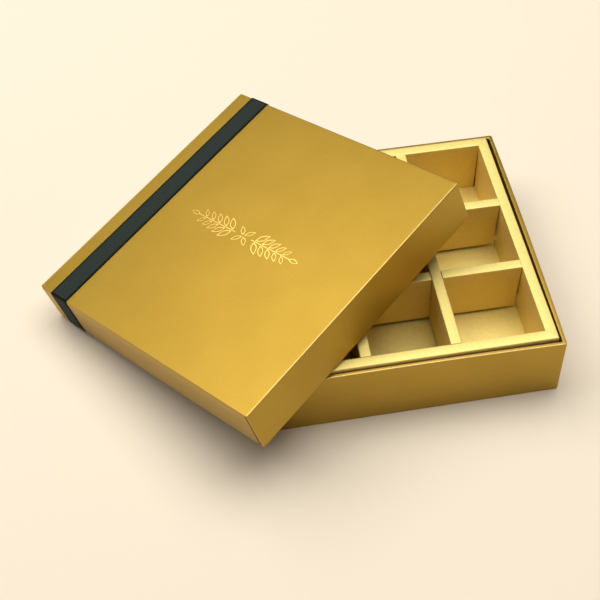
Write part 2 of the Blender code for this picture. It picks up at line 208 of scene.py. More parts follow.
def gold_paper():
    """Metallised paper with a satin varnish: flat gold flakes give a soft, wide, coloured sheen."""
    flake_size = 1.1 * MM  # real flakes are far finer, drawn coarser so that they show
    flake_depth = 0.004 * MM
    wave_size = 38 * MM  # slow waves of paper that is glued to board
    wave_depth = 0.04 * MM
    material, tree, shader, place = new_material("satin_gold_metallised_paper", roughness=0.40, metallic=1.0)
    settings = {"Scale": 1 / flake_size, "Detail": 3.0}
    flakes = add_node(tree, "ShaderNodeTexNoise", "Fac", settings, {"Vector": place})
    settings = {"Scale": 1 / wave_size, "Detail": 2.0}
    waves = add_node(tree, "ShaderNodeTexNoise", "Fac", settings, {"Vector": place})
    by_flake = add_node(tree, "ShaderNodeMapRange", "Result", NOISE_SPAN, {"Value": flakes})
    by_wave = add_node(tree, "ShaderNodeMapRange", "Result", NOISE_SPAN, {"Value": waves})
    settings = {**COLOURS, FIRST: linear("#B0913B"), SECOND: linear("#B4953E")}
    gold = add_node(tree, "ShaderNodeMix", MIXED, settings, {FACTOR: by_wave})
    settings = {**COLOURS, FIRST: linear("#F8F5EE"), SECOND: linear("#FFFFFF")}
    glint = add_node(tree, "ShaderNodeMix", MIXED, settings, {FACTOR: by_flake})
    settings = {**COLOURS, "blend_type": "MULTIPLY", FACTOR: 1.0}
    paper = add_node(tree, "ShaderNodeMix", MIXED, settings, {FIRST: gold, SECOND: glint})

    # Folds go paler, in flecks: partly rubbed wear, partly a painted highlight along the edges
    wear_and_highlight = add_node(tree, "ShaderNodeAttribute", "Fac", {"attribute_name": "wear_and_highlight"})
    wear_and_highlight_flecks = add_node(tree, "ShaderNodeMath", 0, {"operation": "MULTIPLY"}, {0: wear_and_highlight, 1: flakes})
    settings = {**COLOURS, SECOND: linear("#F2DFA0")}
    worn_and_highlit = add_node(tree, "ShaderNodeMix", MIXED, settings, {FACTOR: wear_and_highlight_flecks, FIRST: paper})

    # A dark line beside the cut edge of each lap: partly glue, partly painted shade where the edge stands
    # off the paper below
    seam = add_node(tree, "ShaderNodeAttribute", "Fac", {"attribute_name": "seam"})
    settings = {**COLOURS, SECOND: linear("#66502A")}
    glued_and_shaded = add_node(tree, "ShaderNodeMix", MIXED, settings, {FACTOR: seam, FIRST: worn_and_highlit})

    settings = {**NOISE_SPAN, "To Min": 0.38, "To Max": 0.44}
    satin = add_node(tree, "ShaderNodeMapRange", "Result", settings, {"Value": flakes})
    settings = {"Strength": 1.0, "Distance": wave_depth}
    swell = add_node(tree, "ShaderNodeBump", "Normal", settings, {"Height": waves})
    settings = {"Strength": 1.0, "Distance": flake_depth}
    relief = add_node(tree, "ShaderNodeBump", "Normal", settings, {"Height": flakes, "Normal": swell})
    feed(tree, shader, {"Base Color": glued_and_shaded, "Roughness": satin, "Normal": relief})
    return material


def pearl_card():
    """Pearl-coated card: mica in its varnish gives a pale golden gleam, and its back is plain kraft.

    The faces that are folded upright are painted a deeper tone than the rims and the cells' floors, a
    painted shade for the light that they catch less of.
    """
    mottle_size = 3 * MM
    mottle_depth = 0.01 * MM
    grain_size = 0.8 * MM  # real mica is far finer, drawn coarser so that it shows
    grain_depth = 0.005 * MM
    material, tree, shader, place = new_material("pearl_coated_card", roughness=0.55, metallic=0.50)
    settings = {"Scale": 1 / mottle_size, "Detail": 2.0}
    mottle = add_node(tree, "ShaderNodeTexNoise", "Fac", settings, {"Vector": place})
    settings = {"Scale": 1 / grain_size, "Detail": 2.0}
    grain = add_node(tree, "ShaderNodeTexNoise", "Fac", settings, {"Vector": place})
    by_mottle = add_node(tree, "ShaderNodeMapRange", "Result", NOISE_SPAN, {"Value": mottle})
    settings = {**COLOURS, FIRST: linear("#F7E58C"), SECOND: linear("#FBEB96")}
    flat = add_node(tree, "ShaderNodeMix", MIXED, settings, {FACTOR: by_mottle})
    # Painted shade: a darker copy of the card's tone for the faces that stand upright
    settings = {**COLOURS, FIRST: linear("#E5CB78"), SECOND: linear("#E9D182")}
    painted_shade_tone = add_node(tree, "ShaderNodeMix", MIXED, settings, {FACTOR: by_mottle})
    upright_painted_shade = add_node(tree, "ShaderNodeAttribute", "Fac", {"attribute_name": "upright_painted_shade"})
    links = {FACTOR: upright_painted_shade, FIRST: flat, SECOND: painted_shade_tone}
    coated = add_node(tree, "ShaderNodeMix", MIXED, COLOURS, links)

    # The card's back is bare, so it is brown and has no gleam
    reverse = add_node(tree, "ShaderNodeAttribute", "Fac", {"attribute_name": "reverse"})
    settings = {**COLOURS, SECOND: linear("#6E4C2C")}
    sided = add_node(tree, "ShaderNodeMix", MIXED, settings, {FACTOR: reverse, FIRST: coated})
    settings = {"To Min": 0.50, "To Max": 0.0}
    gleam = add_node(tree, "ShaderNodeMapRange", "Result", settings, {"Value": reverse})

    settings = {**NOISE_SPAN, "To Min": 0.52, "To Max": 0.58}
    varnish = add_node(tree, "ShaderNodeMapRange", "Result", settings, {"Value": mottle})
    settings = {"Strength": 1.0, "Distance": mottle_depth}
    swell = add_node(tree, "ShaderNodeBump", "Normal", settings, {"Height": mottle})
    settings = {"Strength": 1.0, "Distance": grain_depth}
    relief = add_node(tree, "ShaderNodeBump", "Normal", settings, {"Height": grain, "Normal": swell})
    links = {"Base Color": sided, "Metallic": gleam, "Roughness": varnish, "Normal": relief}
    feed(tree, shader, links)
    return material


def grosgrain():
    """Polyester grosgrain: its yarn is matt, and the ribs' crests are painted lighter, a painted highlight
    where they catch light.
    """
    yarn_size = 0.5 * MM  # real yarn is thinner, drawn coarser so that it shows
    yarn_depth = 0.03 * MM
    material, tree, shader, place = new_material("polyester_grosgrain", roughness=0.85, metallic=0.0)
    shader.inputs["Sheen Weight"].default_value = 0.02
    shader.inputs["Sheen Roughness"].default_value = 0.5
    shader.inputs["Specular IOR Level"].default_value = 0.1
    settings = {"Scale": 1 / yarn_size, "Detail": 2.0}
    yarn = add_node(tree, "ShaderNodeTexNoise", "Fac", settings, {"Vector": place})
    # Painted highlight: the ribs' crests are drawn lighter than the hollows between them
    crest = add_node(tree, "ShaderNodeAttribute", "Fac", {"attribute_name": "rib"})
    lit = add_node(tree, "ShaderNodeMath", 0, {"operation": "MULTIPLY"}, {0: crest, 1: yarn})
    settings = {**COLOURS, FIRST: linear("#19211F"), SECOND: linear("#4A5753")}
    ribbed = add_node(tree, "ShaderNodeMix", MIXED, settings, {FACTOR: lit})
    # Darker woven edges, with painted shade along them and along the folds over the lid's edge
    edge = add_node(tree, "ShaderNodeAttribute", "Fac", {"attribute_name": "selvedge_and_fold_shade"})
    settings = {**COLOURS, SECOND: linear("#10140F")}
    woven_and_shaded = add_node(tree, "ShaderNodeMix", MIXED, settings, {FACTOR: edge, FIRST: ribbed})
    settings = {"Strength": 1.0, "Distance": yarn_depth}
    relief = add_node(tree, "ShaderNodeBump", "Normal", settings, {"Height": yarn})
    feed(tree, shader, {"Base Color": woven_and_shaded, "Normal": relief})
    return material


def plain_stock(name, tones, size, depth, roughness, metallic, detail, grit=0.5, layers=1.0):
    """Board, paper or foil whose two tones and slight relief follow one fine pattern.

    detail and grit say how much finer structure the pattern has, and layers how many times finer
    it is upwards than level.
    """
    material, tree, shader, place = new_material(name, roughness, metallic)
    settings = {"Scale": (1.0, 1.0, layers)}
    layered = add_node(tree, "ShaderNodeMapping", "Vector", settings, {"Vector": place})
    settings = {"Scale": 1 / size, "Detail": detail, "Roughness": grit}
    pattern = add_node(tree, "ShaderNodeTexNoise", "Fac", settings, {"Vector": layered})
    share = add_node(tree, "ShaderNodeMapRange", "Result", NOISE_SPAN, {"Value": pattern})
    settings = {**COLOURS, FIRST: linear(tones[0]), SECOND: linear(tones[1])}
    colour = add_node(tree, "ShaderNodeMix", MIXED, settings, {FACTOR: share})
    settings = {"Strength": 1.0, "Distance": depth}
    relief = add_node(tree, "ShaderNodeBump", "Normal", settings, {"Height": pattern})
    feed(tree, shader, {"Base Color": colour, "Normal": relief})
    return material


def greyboard():
    """Greyboard: pressed waste paper, dull, with flecks of lighter and darker fibre."""
    fleck_size = 1.6 * MM  # real flecks are smaller, drawn coarser so that they show
    fleck_depth = 0.05 * MM
    return plain_stock("raw_greyboard", ("#8F8778", "#AAA192"), fleck_size, fleck_depth,
                       roughness=0.92, metallic=0.0, detail=6.0, grit=0.7)


def kraft_tape():
    """Gummed kraft tape: brown paper, matt, with fine fibres that run level, across the tape."""
    fibre_size = 1.2 * MM  # real fibres are finer, drawn coarser so that they show
    fibre_depth = 0.02 * MM
    return plain_stock("gummed_kraft_tape", ("#8E6B44", "#A98258"), fibre_size, fibre_depth,
                       roughness=0.80, metallic=0.0, detail=4.0, layers=6.0)


def lining_paper():
    """Uncoated gold-tinted lining paper: nearly matt, with a faint fibre."""
    fibre_size = 1.4 * MM  # real fibres are finer, drawn coarser so that they show
    fibre_depth = 0.02 * MM
    return plain_stock("matt_gold_lining_paper", ("#B08C45", "#BC9850"), fibre_size, fibre_depth,
                       roughness=0.62, metallic=0.35, detail=4.0)


def stamped_foil():
    """Hot-stamped foil: a thin bright skin of metal, near a mirror, slightly crinkled by the paper."""
    crinkle_size = 1.5 * MM
    crinkle_depth = 0.02 * MM
    return plain_stock("hot_stamped_foil", ("#EBC667", "#F6DA86"), crinkle_size, crinkle_depth,
                       roughness=0.28, metallic=1.0, detail=2.0)


def deselect():
    bpy.ops.object.select_all(action="DESELECT")


def make_active(piece):
    deselect()
    piece.select_set(True)
    bpy.context.view_layer.objects.active = piece


def edit(piece):
    make_active(piece)
    bpy.ops.object.mode_set(mode="EDIT")


def leave_edit():
    bpy.ops.object.mode_set(mode="OBJECT")


def add_box(name, centre, size):
    """A box of a size about a point."""
    deselect()
    bpy.ops.mesh.primitive_cube_add(size=1, location=centre, scale=size)
    box = bpy.context.object
    box.name = name
    bpy.ops.object.transform_apply(location=True, rotation=False, scale=True)
    return box


def copy_of(piece):
    """A copy of a piece, with its own mesh."""
    twin = piece.copy()
    twin.data = piece.data.copy()
    bpy.context.scene.collection.objects.link(twin)
    return twin


def join(pieces):
    """Joins pieces to the first of them."""
    deselect()
    for piece in pieces:
        piece.select_set(True)
    bpy.context.view_layer.objects.active = pieces[0]
    bpy.ops.object.join()
    return pieces[0]


def face_outwards(piece):
    """Turns all the faces of a piece outwards."""
    edit(piece)
    bpy.ops.mesh.select_all(action="SELECT")
    bpy.ops.mesh.normals_make_consistent(inside=False)
    leave_edit()


def middle(item):
    """The middle of an edge's or a face's corners."""
    corners = [v.co for v in item.verts]
    return sum(corners, Vector()) / len(corners)


def pick(kind, test):
    """In edit mode, selects the EDGE or FACE items for which test says yes."""
    bpy.ops.mesh.select_mode(type=kind)
    bpy.ops.mesh.select_all(action="DESELECT")
    mesh = bmesh.from_edit_mesh(bpy.context.object.data)
    for item in {"EDGE": mesh.edges, "FACE": mesh.faces}[kind]:
        if test(item):
            item.select_set(True)
    mesh.select_flush_mode()
    bmesh.update_edit_mesh(bpy.context.object.data)


def near(a, b):
    return abs(a - b) < SAME_PLACE


def slice_at(places, axis):
    """In edit mode, adds an edge loop where each plane square to an axis crosses the mesh."""
    for place in places:
        point = [0.0, 0.0, 0.0]
        square = [0.0, 0.0, 0.0]
        point[axis] = place
        square[axis] = 1.0
        bpy.ops.mesh.select_all(action="SELECT")
        bpy.ops.mesh.bisect(plane_co=point, plane_no=square)


def spread(low, high, count):
    """Evenly spaced places inside a stretch, its ends left out."""
    return [low + (high - low) * (i + 1) / (count + 1) for i in range(count)]


def apply_modifiers(piece):
    make_active(piece)
    for modifier in list(piece.modifiers):
        bpy.ops.object.modifier_apply(modifier=modifier.name)


def thicken(piece, thickness):
    """Gives a surface its thickness, on the side away from where its faces point."""
    wall = piece.modifiers.new("thickness", "SOLIDIFY")
    wall.thickness = thickness
    wall.offset = -1.0
    wall.use_even_offset = True
    apply_modifiers(piece)


def carry(piece, matrix):
    """Moves a piece to its place and leaves its object at the origin, with the place in the mesh."""
    make_active(piece)
    piece.matrix_world = matrix
    bpy.ops.object.transform_apply(location=True, rotation=True, scale=True)


def smooth(piece, degrees=35):
    make_active(piece)
    bpy.ops.object.shade_smooth_by_angle(angle=math.radians(degrees))


def finish_piece(piece, body, material, slot, *nodes):
    """Gives a piece its material, the body it rides on and the nodes that it stands for."""
    piece.data.materials.clear()
    piece.data.materials.append(material)
    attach(piece, body)
    if nodes:
        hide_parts(*nodes)


def mark(piece, name, value_at):
    """Stores a number from 0 to 1 at each vertex, for the material to read."""
    stored = piece.data.attributes.new(name, "FLOAT", "POINT")
    for vertex, item in zip(piece.data.vertices, stored.data):
        item.value = value_at(vertex.co)


def mark_faces(piece, name, value_at):
    """Stores a number from 0 to 1 on each face, for the material to read."""
    stored = piece.data.attributes.new(name, "FLOAT", "FACE")
    for face, item in zip(piece.data.polygons, stored.data):
        item.value = value_at(face)


def bow(piece, half, height):
    """Bends and leans the base's right wall outwards and its front wall inwards, most at the rim."""
    inner = half - WALL - PAPER
    for vertex in piece.data.vertices:
        x, y, z = vertex.co
        if x > inner:
            bulge = RIGHT_BOW if x > half - WALL / 2 else RIGHT_BOW - TURN_IN_SWELL
            lean = RIGHT_LEAN * (1 + y / half) / 2
            vertex.co.x += (bulge * (1 - (y / half) ** 2) + lean) * z / height
        if y < -inner:
            vertex.co.y += FRONT_BOW * (1 - (x / half) ** 2) * z / height


def bowed_board(node, half, height):
    """A wall board of the base, bent with the paper that covers it."""
    low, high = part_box(node)
    board = add_box(f"{node}_bent", (low + high) / 2, high - low)
    edit(board)
    along = 0 if high.x - low.x > high.y - low.y else 1
    slice_at(spread(low[along], high[along], BOARD_LOOPS), along)
    leave_edit()
    bow(board, half, height)
    return board


def folded_walls(side, height):
    """In edit mode, folds a flat sheet up into walls, over the rim and down inside them."""
    half = side / 2
    inner_share = (half - WALL) / half
    bpy.ops.mesh.select_all(action="SELECT")
    bpy.ops.mesh.bevel(offset=CORNER_RADIUS, segments=BEND_STEPS, affect="VERTICES")
    bpy.ops.mesh.extrude_region_move(TRANSFORM_OT_translate={"value": (0, 0, height)})
    bpy.ops.mesh.extrude_region_move(TRANSFORM_OT_translate={"value": (0, 0, 0)})
    bpy.ops.transform.resize(value=(inner_share, inner_share, 1), center_override=(0, 0, height))
    bpy.ops.mesh.extrude_region_move(TRANSFORM_OT_translate={"value": (0, 0, TURN_IN_FOOT - height)})
    bpy.ops.mesh.select_all(action="SELECT")
    bpy.ops.mesh.normals_make_consistent(inside=False)
    pick("FACE", lambda f: near(middle(f).z, TURN_IN_FOOT) and f.normal.z > FACING)
    bpy.ops.mesh.delete(type="ONLY_FACE")

    def level(edge, z):
        return all(near(v.co.z, z) for v in edge.verts)

    def is_fold(edge):
        if level(edge, 0):
            return edge.is_manifold
        if not level(edge, height) or len(edge.link_faces) != 2:
            return False
        return abs(edge.link_faces[0].normal.dot(edge.link_faces[1].normal)) < FOLD_COSINE

    pick("EDGE", is_fold)
    bpy.ops.mesh.bevel(offset=EDGE_RADIUS, segments=BEND_STEPS, affect="EDGES")
    rub_and_highlight_bounds = (RUB_AND_HIGHLIGHT_REACH - half, half - RUB_AND_HIGHLIGHT_REACH)
    for axis in (0, 1):
        slice_at([*rub_and_highlight_bounds, *spread(*rub_and_highlight_bounds, WRAP_LOOPS)], axis)
    rub_and_highlight_bounds = (RUB_AND_HIGHLIGHT_REACH, height - RUB_AND_HIGHLIGHT_REACH)
    slice_at([*rub_and_highlight_bounds, *spread(*rub_and_highlight_bounds, WRAP_HEIGHT_LOOPS)], 2)


def lap_slope(height):
    """How much the upper paper's cut draws in for each unit of height."""
    return (LAP_REACH[1] - LAP_REACH[0]) / height


def past_lap(place, half, height):
    """How far past the upper paper's cut a place lies, towards the corner."""
    return abs(place.x) - (half - LAP_REACH[0] - lap_slope(height) * place.z)


def lap_corners(sheet, half, height):
    """In edit mode, lays the paper of two walls over the ears that come round the corners."""
    for hand in (-1, 1):
        for shift in (0, SEAM_WIDTH):
            bpy.ops.mesh.select_all(action="SELECT")
            edge_at = hand * (half - LAP_REACH[0] + shift)
            bpy.ops.mesh.bisect(plane_co=(edge_at, 0, 0), plane_no=(hand, 0, lap_slope(height)))

    def on_upper_paper(face):
        place = middle(face)
        between_folds = EDGE_RADIUS < place.z < height - EDGE_RADIUS
        on_wall = abs(place.y) > half - EDGE_RADIUS
        return past_lap(place, half, height) < 0 and between_folds and on_wall

    pick("FACE", on_upper_paper)
    bpy.ops.mesh.extrude_region_shrink_fatten(TRANSFORM_OT_shrink_fatten={"value": LAP_RISE})
    mesh = bmesh.from_edit_mesh(sheet.data)
    for vertex in mesh.verts:
        at_fold = min(vertex.co.z, height - vertex.co.z) < EDGE_RADIUS + LAP_RISE
        if at_fold and abs(vertex.co.y) > half:
            vertex.co.y = math.copysign(half, vertex.co.y)
    bmesh.update_edit_mesh(sheet.data)
    bpy.ops.mesh.select_all(action="SELECT")
    bpy.ops.mesh.remove_doubles(threshold=SAME_PLACE)


def wrapped_sheet(name, side, height):
    """One sheet of gold paper round a tray of board, with its laps, its rubbed folds that also carry a
    painted highlight, and a dark line of glue and painted shade beside each lap.
    """
    half = side / 2
    deselect()
    bpy.ops.mesh.primitive_plane_add(size=side, location=(0, 0, 0))
    sheet = bpy.context.object
    sheet.name = name
    edit(sheet)
    folded_walls(side, height)
    lap_corners(sheet, half, height)
    leave_edit()
    thicken(sheet, PAPER)

    # Paler folds: rubbed wear together with a painted highlight, less of both on the lapped walls
    def wear_and_highlight(place):
        from_side = half - max(abs(place.x), abs(place.y))
        if place.z > height / 2:
            from_side = min(from_side, WALL - from_side)
        from_fold = RUB_AND_HIGHLIGHT_FADE * max(min(place.z, height - place.z), 0)
        share = LAPPED_RUB_AND_HIGHLIGHT if abs(place.y) > abs(place.x) else 1.0
        return share * max(0.0, 1 - (max(from_side, 0) + from_fold) / RUB_AND_HIGHLIGHT_REACH)

    # Faces of the dark line of glue and painted shade beside each lap's cut edge
    def seam(face):
        on_ear = -SEAM_UNDERLAP < past_lap(face.center, half, height) < SEAM_WIDTH
        return float(on_ear and abs(face.center.y) > half - SEAM_DEPTH)

    mark(sheet, "wear_and_highlight", wear_and_highlight)
    mark_faces(sheet, "seam", seam)
    smooth(sheet)
    return sheet


def spring_rim(piece, half, height):
    """Springs the lid's walls outwards, most at the rim and at the middle of each wall."""
    for vertex in piece.data.vertices:
        x, y, z = vertex.co
        drop = 1 - z / height  # 0 at the panel and 1 at the rim
        vertex.co.x += x / half * drop * (LID_SPRING + LID_BOW * (1 - (y / half) ** 2))
        vertex.co.y += y / half * drop * (LID_SPRING + LID_BOW * (1 - (x / half) ** 2))


def sprung_copy(node, place, half, height):
    """One of the lid's boards or tapes, sprung outwards with the paper that covers it."""
    piece = bpy.data.objects.new(f"{node}_sprung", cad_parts[node].data.copy())
    bpy.context.scene.collection.objects.link(piece)
    carry(piece, place.inverted())
    edit(piece)
    bpy.ops.mesh.select_all(action="SELECT")
    bpy.ops.mesh.remove_doubles(threshold=SAME_PLACE)
    for axis in (0, 1):
        slice_at(spread(-half, half, WRAP_LOOPS), axis)
    leave_edit()
    spring_rim(piece, half, height)
    carry(piece, place)
    return piece


def turned_over(height):
    """Turns a tray over, about its own middle height, to make a lid of it."""
    return Matrix.Translation((0, 0, height)) @ Matrix.Rotation(math.pi, 4, "X")


def ripple(piece, heading):
    """Lets flat card wander a little out of its plane, as folded card does."""
    for vertex in piece.data.vertices:
        wander = noise.noise((vertex.co + heading) / RIPPLE_LENGTH) * CARD_RIPPLE
        vertex.co += vertex.normal * wander


def fold_channel(name, size, centre):
    """A strip folded to an upturned U along X, with sharp folds and no thickness, left in edit mode."""
    channel = add_box(name, centre, size)
    edit(channel)
    pick("FACE", lambda f: f.normal.z < -FACING or abs(f.normal.x) > FACING)
    bpy.ops.mesh.delete(type="ONLY_FACE")
    return channel


def round_folds(top):
    """In edit mode, rounds the two folds at the top of a channel."""
    pick("EDGE", lambda e: len(e.link_faces) == 2 and near(middle(e).z, top))
    bpy.ops.mesh.bevel(offset=FOLD_RADIUS, segments=BEND_STEPS, affect="EDGES")


def tray_side(half, foot, top):
    """One folded side of the tray, at the front: outer wall, rim and inner wall, mitred at its ends."""
    inner = half - RIM_WIDTH
    size = (2 * half, RIM_WIDTH, top - foot)
    side = fold_channel("tray_side", size, (0, -half + RIM_WIDTH / 2, (top + foot) / 2))
    mesh = bmesh.from_edit_mesh(side.data)
    for vertex in mesh.verts:
        outside = vertex.co.y < -half + RIM_WIDTH / 2
        low = vertex.co.z < (top + foot) / 2
        reach = half if outside else inner
        reach -= FOOT_GAP if low else MITRE_GAP
        vertex.co.x = math.copysign(reach, vertex.co.x)
        if low and not outside:
            vertex.co.z = CELL_FLOOR - CARD / 2
    bmesh.update_edit_mesh(side.data)
    round_folds(top)
    slice_at(spread(-half, half, TRAY_LOOPS), 0)
    slice_at(spread(CELL_FLOOR, top - FOLD_RADIUS, TRAY_HEIGHT_LOOPS), 2)
    leave_edit()
    return side


def cell_floor(half):
    """The tray's raised floor, which the cells share: card that has wandered a little out of flat."""
    size = 2 * (half - RIM_WIDTH + CARD / 2)
    cuts = {"x_subdivisions": CELL_FLOOR_LOOPS, "y_subdivisions": CELL_FLOOR_LOOPS}
    deselect()
    bpy.ops.mesh.primitive_grid_add(**cuts, size=size, location=(0, 0, CELL_FLOOR))
    floor = bpy.context.object
    bpy.ops.object.transform_apply(location=True, rotation=False, scale=False)
    for vertex in floor.data.vertices:
        vertex.co.z += noise.noise(vertex.co / RIPPLE_LENGTH) * CARD_RIPPLE
    thicken(floor, CARD)
    return floor


def insert_tray():
    """The folded card tray: four hollow sides round a raised floor."""
    low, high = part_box("insert_tray")
    half = high.x
    side = tray_side(half, low.z, high.z)
    ripple(side, Vector())
    thicken(side, CARD)
    parts = [side]
    for quarter in (1, 2, 3):
        turned = copy_of(side)
        carry(turned, Matrix.Rotation(math.radians(90 * quarter), 4, "Z"))
        parts.append(turned)
    join([*parts, cell_floor(half)])
    side.name = "insert_tray_card"
    # How much each face stands upright, for its painted shade
    mark_faces(side, "upright_painted_shade", lambda f: 1 - abs(f.normal.z))

    def raw_side(face):
        from_middle = max(abs(face.center.x), abs(face.center.y))
        in_wall = from_middle > half - RIM_WIDTH + CARD / 2 and face.center.z < high.z - CARD / 2
        under_floor = face.center.z < CELL_FLOOR - CARD / 2
        return float(from_middle < half - CARD / 2 and (in_wall or under_floor))

    mark_faces(side, "reverse", raw_side)
    smooth(side)
    carry(side, Matrix.Translation(INSERT_SHIFT))
    return side


def divider(name, node, along_y):
    """A hollow card strip where its CAD node lies.  Along Y it is slotted from below, else from above."""
    low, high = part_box(node)
    low.z += FOOT_LIFT
    if along_y:
        low, high = Vector((low.y, low.x, low.z)), Vector((high.y, high.x, high.z))
    lap = (low.z + high.z) / 2
    aside = (low.y + high.y) / 2
    size = (high.x - low.x + 2 * END_REACH, high.y - low.y, high.z - low.z)
    strip = fold_channel(name, size, (0, 0, lap))
    mesh = bmesh.from_edit_mesh(strip.data)
    for vertex in mesh.verts:
        if vertex.co.z < lap:
            vertex.co.x -= math.copysign(END_DRAW + END_REACH, vertex.co.x)
    bmesh.update_edit_mesh(strip.data)
    round_folds(high.z)
    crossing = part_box("column_divider_right")
    centre = (crossing[0].x + crossing[1].x) / 2
    reach = (crossing[1].x - crossing[0].x) / 2 + SLOT_GAP
    slot_ends = [hand * centre + edge * reach for hand in (-1, 1) for edge in (-1, 1)]
    slice_at([*slot_ends, *spread(low.x, high.x, STRIP_LOOPS)], 0)
    slice_at([lap], 2)

    def in_slot(face):
        spot = middle(face)
        return abs(abs(spot.x) - centre) < reach and (spot.z < lap) == along_y

    pick("FACE", in_slot)
    bpy.ops.mesh.delete(type="FACE")
    leave_edit()
    ripple(strip, Vector((0, len(node) * RIPPLE_LENGTH, 0)))
    thicken(strip, CARD)
    within = (high.y - low.y - CARD) / 2

    def raw_side(face):
        return float(abs(face.center.y) < within and face.center.z < high.z - CARD / 2)

    # How much each face stands upright, for its painted shade
    mark_faces(strip, "upright_painted_shade", lambda f: 1 - abs(f.normal.z))
    mark_faces(strip, "reverse", raw_side)
    where, turn = Vector((0, aside, 0)), Matrix.Identity(4)
    if along_y:
        where, turn = Vector((aside, 0, 0)), Matrix.Rotation(math.radians(90), 4, "Z")
    carry(strip, Matrix.Translation(where + Vector(INSERT_SHIFT)) @ turn)
    smooth(strip)
    return strip


def lid_place():
    """Where the lid lies, worked out from its CAD nodes: its matrix, side and height."""
    def points(node):
        return [v.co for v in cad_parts[node].data.vertices]

    def square_to(node):
        return max(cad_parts[node].data.polygons, key=lambda f: f.area).normal.copy()

    up, along = square_to("lid_liner"), square_to("lid_wall_board_right")
    up *= math.copysign(1, up.z)
    from_ribbon = points("lid_wall_board_right")[0] - points("lid_ribbon")[0]
    along *= math.copysign(1, along.dot(from_ribbon))
    across = up.cross(along)
    spans = []
    for axis in (along, across, up):
        reach = [p.dot(axis) for p in points("lid_wrap")]
        spans.append((min(reach), max(reach)))
    middle_of = [(low + high) / 2 for low, high in spans]
    origin = along * middle_of[0] + across * middle_of[1] + up * spans[2][0]
    turn = Matrix((along, across, up)).transposed().to_4x4()
    side = spans[0][1] - spans[0][0]
    return Matrix.Translation(origin) @ turn, side, spans[2][1] - spans[2][0]


def ribbon_route(side, height):
    """The band's line in the lid's Y and Z, from one tail inside round to the other, as dense points."""
    half = side / 2 + LAP_RISE + RIBBON_LIFT
    inside = side / 2 - WALL - RIBBON_LIFT
    over, under = height + RIBBON_LIFT, -RIBBON_LIFT
    one_side = [(inside, RIBBON_TAIL), (inside, under), (half, under), (half, over)]
    other_side = [(-y, z) for y, z in reversed(one_side)]
    corners = [Vector(corner) for corner in (*one_side, *other_side)]
    route = [corners[0]]
    for before, corner, after in zip(corners, corners[1:], corners[2:]):
        towards = (before - corner).normalized() * RIBBON_BEND
        away = (after - corner).normalized() * RIBBON_BEND
        centre = corner + towards + away
        for step in range(RIBBON_BEND_STEPS + 1):
            angle = math.radians(90 * step / RIBBON_BEND_STEPS)
            route.append(centre - away * math.cos(angle) - towards * math.sin(angle))
    route.append(corners[-1])
    return route


def run_lengths(route):
    """How far along a route each of its points lies."""
    runs = [0.0]
    for a, b in zip(route, route[1:]):
        runs.append(runs[-1] + (b - a).length)
    return runs


def lay_band(band, route, left, width, rows):
    """Lays a flat unit grid along a route, every other row raised as a rib, and gives the raised corners."""
    runs = run_lengths(route)
    segment = 0
    raised = set()
    for vertex in sorted(band.data.vertices, key=lambda v: v.co.y):
        across = vertex.co.x
        along = (vertex.co.y + 0.5) * runs[-1]
        while segment < len(runs) - 2 and along > runs[segment + 1]:
            segment += 1
        start, end = route[segment], route[segment + 1]
        share = (along - runs[segment]) / (runs[segment + 1] - runs[segment])
        spot = start.lerp(end, share)
        heading = (end - start).normalized()
        outward = Vector((heading.y, -heading.x))
        row = round((vertex.co.y + 0.5) * rows)
        rib = 0.0
        if row % 2 and abs(across) < RIBBED_SHARE:
            rib = RIB_HEIGHT
            raised.add(vertex.index)
        spot += outward * (RIBBON_THICKNESS + rib)
        vertex.co = (left + (across + 0.5) * width, spot.x, spot.y)
    return raised


def lid_ribbon(place, side, height):
    """The grosgrain band: a flat strap, ribbed across, laid round the lid beside its left edge."""
    inside_out = place.inverted()
    reach = [(inside_out @ v.co).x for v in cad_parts["lid_ribbon"].data.vertices]
    left = min(reach)
    width = max(reach) - left
    route = ribbon_route(side, height)
    length = run_lengths(route)[-1]
    rows = 2 * round(length / RIB_SPACING)
    cuts = {"x_subdivisions": RIBBON_COLUMNS, "y_subdivisions": rows}
    deselect()
    bpy.ops.mesh.primitive_grid_add(**cuts, size=1, location=(0, 0, 0))
    band = bpy.context.object
    band.name = "lid_ribbon_band"
    raised = lay_band(band, route, left, width, rows)
    face_outwards(band)
    crests = band.data.attributes.new("rib", "FLOAT", "POINT")
    for vertex, item in zip(band.data.vertices, crests.data):
        item.value = float(vertex.index in raised)
    thicken(band, RIBBON_THICKNESS)

    # Woven edges, and the folds over the lid's edge, which carry painted shade
    def selvedge_and_fold_shade(spot):
        at_fold = abs(abs(spot.y) - side / 2) < RIBBON_BEND and spot.z > height - RIBBON_BEND
        return float(at_fold or abs((spot.x - left) / width - 0.5) > RIBBED_SHARE)

    mark(band, "selvedge_and_fold_shade", selvedge_and_fold_shade)
    smooth(band, degrees=60)
    spring_rim(band, side / 2, height)
    carry(band, place)
    return band, (width, length)


def foil_leaf():
    """A leaf drawn as an outline of foil, pointed at both ends, lying along X from the origin."""
    deselect()
    bpy.ops.mesh.primitive_circle_add(vertices=LEAF_SIDES, radius=0.5, fill_type="NGON", location=(0, 0, 0))
    outline = bpy.context.object
    edit(outline)
    bpy.ops.mesh.select_all(action="SELECT")
    bpy.ops.mesh.inset(thickness=LEAF_LINE)
    bpy.ops.mesh.delete(type="FACE")
    bpy.ops.mesh.select_all(action="SELECT")
    bpy.ops.mesh.extrude_region_move(TRANSFORM_OT_translate={"value": (0, 0, FOIL_HEIGHT)})
    leave_edit()
    for vertex in outline.data.vertices:
        share = vertex.co.x + 0.5
        breadth = 0
        if 0 < share < 1:
            breadth = math.sin(math.pi * share) ** LEAF_POINT * (LEAF_FULLNESS - LEAF_TAPER * share)
        vertex.co.x = share * LEAF_LENGTH
        vertex.co.y *= breadth * LEAF_WIDTH
    return outline


